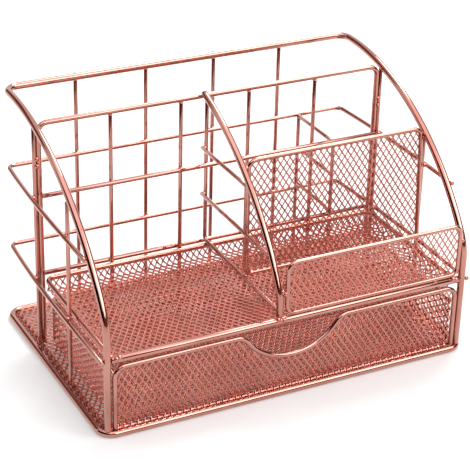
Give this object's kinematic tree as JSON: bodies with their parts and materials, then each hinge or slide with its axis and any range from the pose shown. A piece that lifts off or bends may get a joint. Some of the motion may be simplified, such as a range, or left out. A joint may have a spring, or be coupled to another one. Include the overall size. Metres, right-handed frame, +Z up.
{
  "type": "pen stand with drawer",
  "caption": "Rose gold wire mesh pen stand with a file slot, a pen bay, a front bin, a shallow tray and a low sliding drawer.",
  "frame": {"origin": "centre of the bounding box on the ground plane", "axes": "+X right along the width, +Y to the back, +Z up; the drawer opens towards -Y"},
  "size_m": [0.22, 0.1458, 0.141],
  "materials": {
    "plated_wire": "rose gold plated, glossy",
    "plated_mesh": "rose gold plated expanded mesh, glossy"
  },
  "bodies": {
    "frame": {"base_ring": "plated_wire", "base_edge_wire": "plated_wire", "base_mesh": "plated_mesh", "outer_hoop": "plated_wire", "upper_guard_ring": "plated_wire", "lower_guard_ring": "plated_wire", "front_rail": "plated_wire", "back_upright_1": "plated_wire", "back_upright_2": "plated_wire", "back_upright_3": "plated_wire", "back_upright_4": "plated_wire", "mid_frame": "plated_wire", "mid_rail": "plated_wire", "mid_bottom_rail": "plated_wire", "mid_upright_1": "plated_wire", "mid_upright_2": "plated_wire", "mid_upright_3": "plated_wire", "mid_upright_4": "plated_wire", "rear_side_post_left": "plated_wire", "rear_side_post_right": "plated_wire", "front_side_post_left": "plated_wire", "front_side_post_right": "plated_wire", "tray_rim": "plated_mesh", "tray_front_wire": "plated_wire", "tray_floor": "plated_mesh", "tray_back_wall": "plated_mesh", "tray_left_wall": "plated_mesh", "tray_right_wall": "plated_mesh", "centre_arc": "plated_wire", "centre_divider_wire": "plated_wire", "divider_rung_upper": "plated_wire", "divider_rung_lower": "plated_wire", "pen_frame": "plated_wire", "pen_bottom_wire": "plated_wire", "pen_mesh": "plated_mesh", "partition_back_post": "plated_wire", "partition_mid_post": "plated_wire", "partition_rod_top": "plated_wire", "partition_rod_middle": "plated_wire", "partition_rod_bottom": "plated_wire", "bin_frame": "plated_wire", "bin_mesh": "plated_mesh"},
    "drawer": {"drawer_front_frame": "plated_wire", "drawer_front_mesh": "plated_mesh", "drawer_rim_wire": "plated_wire", "drawer_floor_mesh": "plated_mesh", "drawer_left_mesh": "plated_mesh", "drawer_right_mesh": "plated_mesh", "drawer_back_mesh": "plated_mesh"}
  },
  "joints": [
    {"name": "drawer_slide", "type": "slide", "parent": "frame", "child": "drawer", "axis": [0, -1, 0], "range_m": [0, 0.085]}
  ]
}
